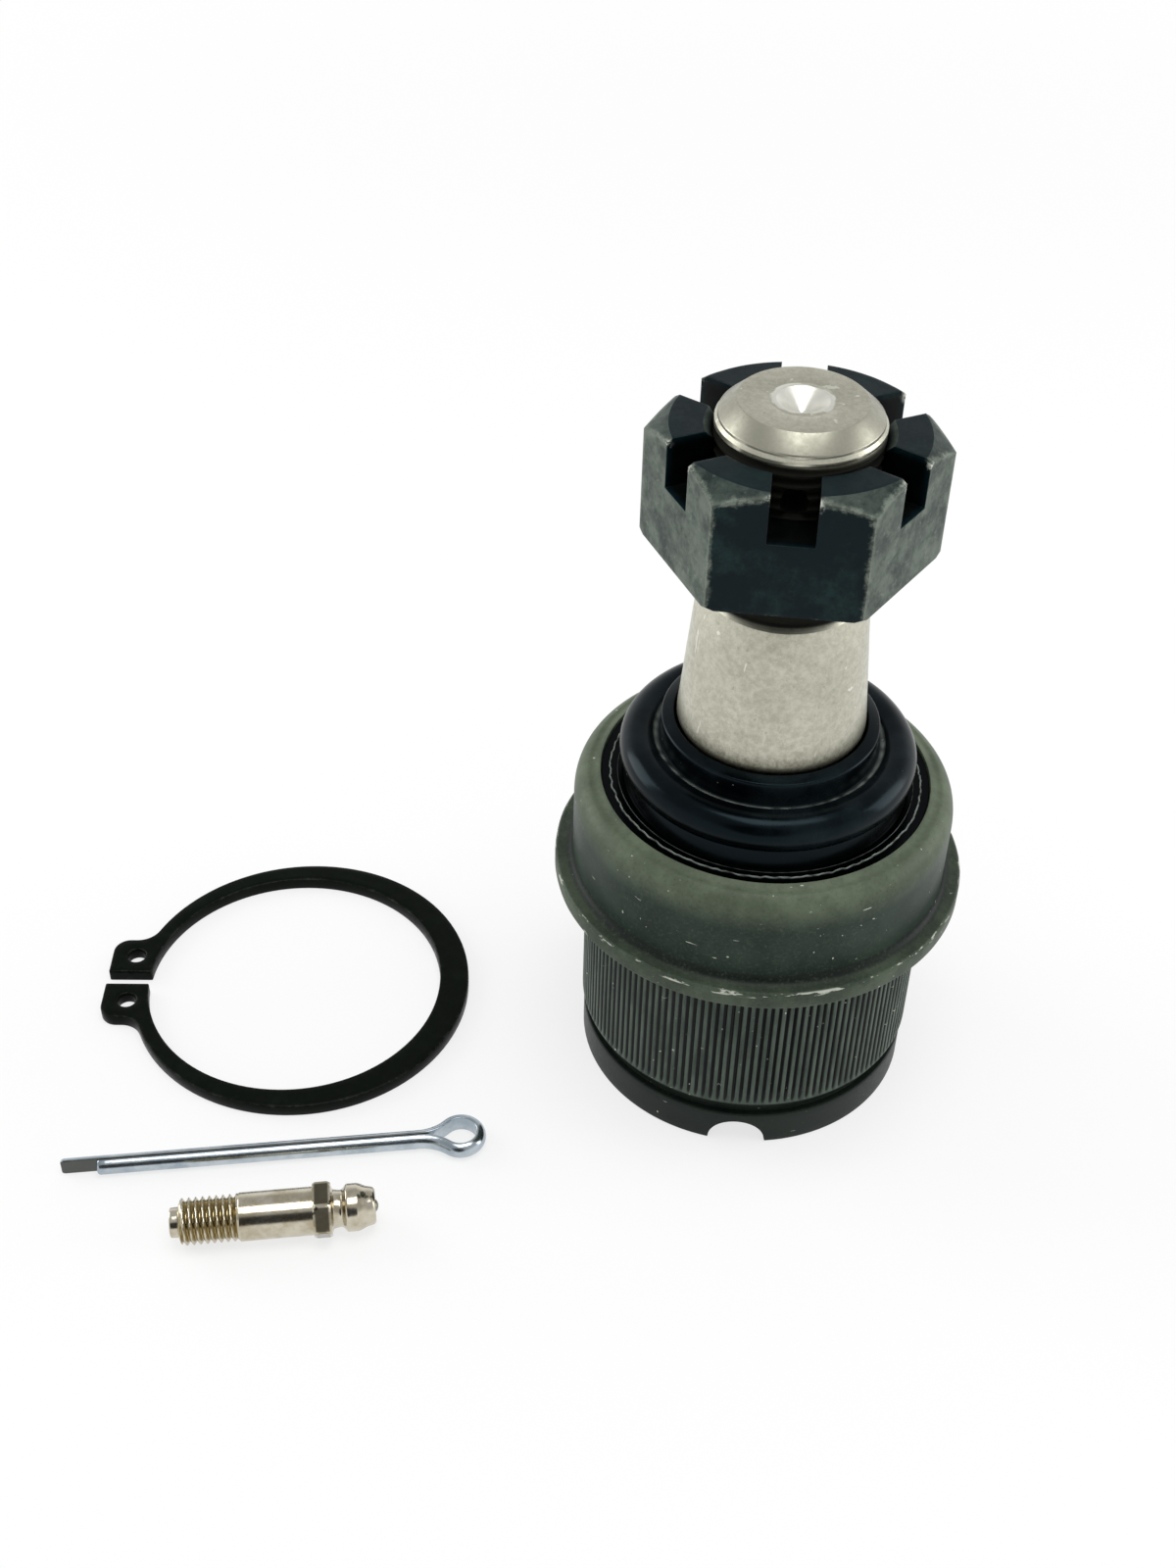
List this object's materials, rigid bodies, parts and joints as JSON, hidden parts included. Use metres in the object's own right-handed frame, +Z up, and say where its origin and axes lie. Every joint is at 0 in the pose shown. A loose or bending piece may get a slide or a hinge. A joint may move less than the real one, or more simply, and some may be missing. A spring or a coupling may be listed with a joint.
{
  "type": "suspension ball joint",
  "caption": "Press-in ball joint with a serrated flanged body, rubber dust boot, tapered ball stud and slotted nut, with its snap ring, cotter pin and grease fitting beside it.",
  "frame": {"origin": "on the body's axis, level with the body's lower rim, which stands on the floor", "axes": "+Z up the stud; -Y towards the arched notch in the collar; the loose pieces lie towards -X"},
  "size_m": [0.1254, 0.083, 0.106],
  "materials": {
    "phosphated_steel": "dark grey phosphate",
    "stud_steel": "satin machined",
    "black_oxide": "black oxide",
    "rubber": "glossy moulded",
    "plated_steel": "plain steel",
    "zinc_plate": "blue zinc plate",
    "nickel_plate": "bright nickel plate",
    "spring_steel": "oiled spring steel",
    "bearing": "sintered bearing metal"
  },
  "bodies": {
    "body": {"housing": "phosphated_steel", "cover_plate": "plated_steel", "cover_seal": "rubber", "disc_spring_lower": "spring_steel", "disc_spring_upper": "spring_steel", "boot_bead": "rubber", "boot_retaining_ring": "plated_steel"},
    "sprung_seat": {"lower_bearing": "bearing", "pressure_plate": "plated_steel"},
    "swing": {"upper_bearing": "bearing", "boot_bellows": "rubber"},
    "tilt": {"boot_collar": "rubber", "collar_insert_ring": "plated_steel"},
    "stud": {"ball_stud": "stud_steel"},
    "nut": {"castle_nut": "black_oxide"},
    "ring": {"snap_ring": "black_oxide"},
    "pin": {"cotter_pin": "zinc_plate"},
    "fitting": {"grease_fitting": "nickel_plate", "fitting_spring": "spring_steel"},
    "check_ball": {"fitting_check_ball": "stud_steel"}
  },
  "joints": [
    {"name": "seat_take_up", "type": "slide", "parent": "body", "child": "sprung_seat", "axis": [0, 0, -1], "range_m": [0, 0.0005], "stiffness_N_per_m": 3000, "springref_m": -0.0002, "deforming": ["disc_spring_lower", "disc_spring_upper"]},
    {"name": "stud_swing", "type": "hinge", "parent": "body", "child": "swing", "pos_m": [0, 0, 0.0258], "axis": [0, 0, 1], "continuous": true},
    {"name": "stud_tilt", "type": "hinge", "parent": "swing", "child": "tilt", "pos_m": [0, 0, 0.0258], "axis": [1, 0, 0], "range_deg": [-12, 12], "deforming": ["boot_bellows"]},
    {"name": "stud_spin", "type": "hinge", "parent": "tilt", "child": "stud", "pos_m": [0, 0, 0.0258], "axis": [0, 0, 1], "continuous": true},
    {"name": "nut_unscrew", "type": "slide", "parent": "stud", "child": "nut", "axis": [0, 0, 1], "range_m": [-0.0045, 0.0215]},
    {"name": "ring_lift", "type": "slide", "parent": "body", "child": "ring", "axis": [0, 0, 1], "range_m": [0, 0.05]},
    {"name": "pin_lift", "type": "slide", "parent": "body", "child": "pin", "axis": [0, 0, 1], "range_m": [0, 0.05]},
    {"name": "fitting_lift", "type": "slide", "parent": "body", "child": "fitting", "axis": [0, 0, 1], "range_m": [0, 0.05]},
    {"name": "check_ball_travel", "type": "slide", "parent": "fitting", "child": "check_ball", "axis": [-0.967, -0.2546, 0], "range_m": [0, 0.0008], "stiffness_N_per_m": 2, "springref_m": -0.0002, "deforming": ["fitting_spring"]}
  ]
}
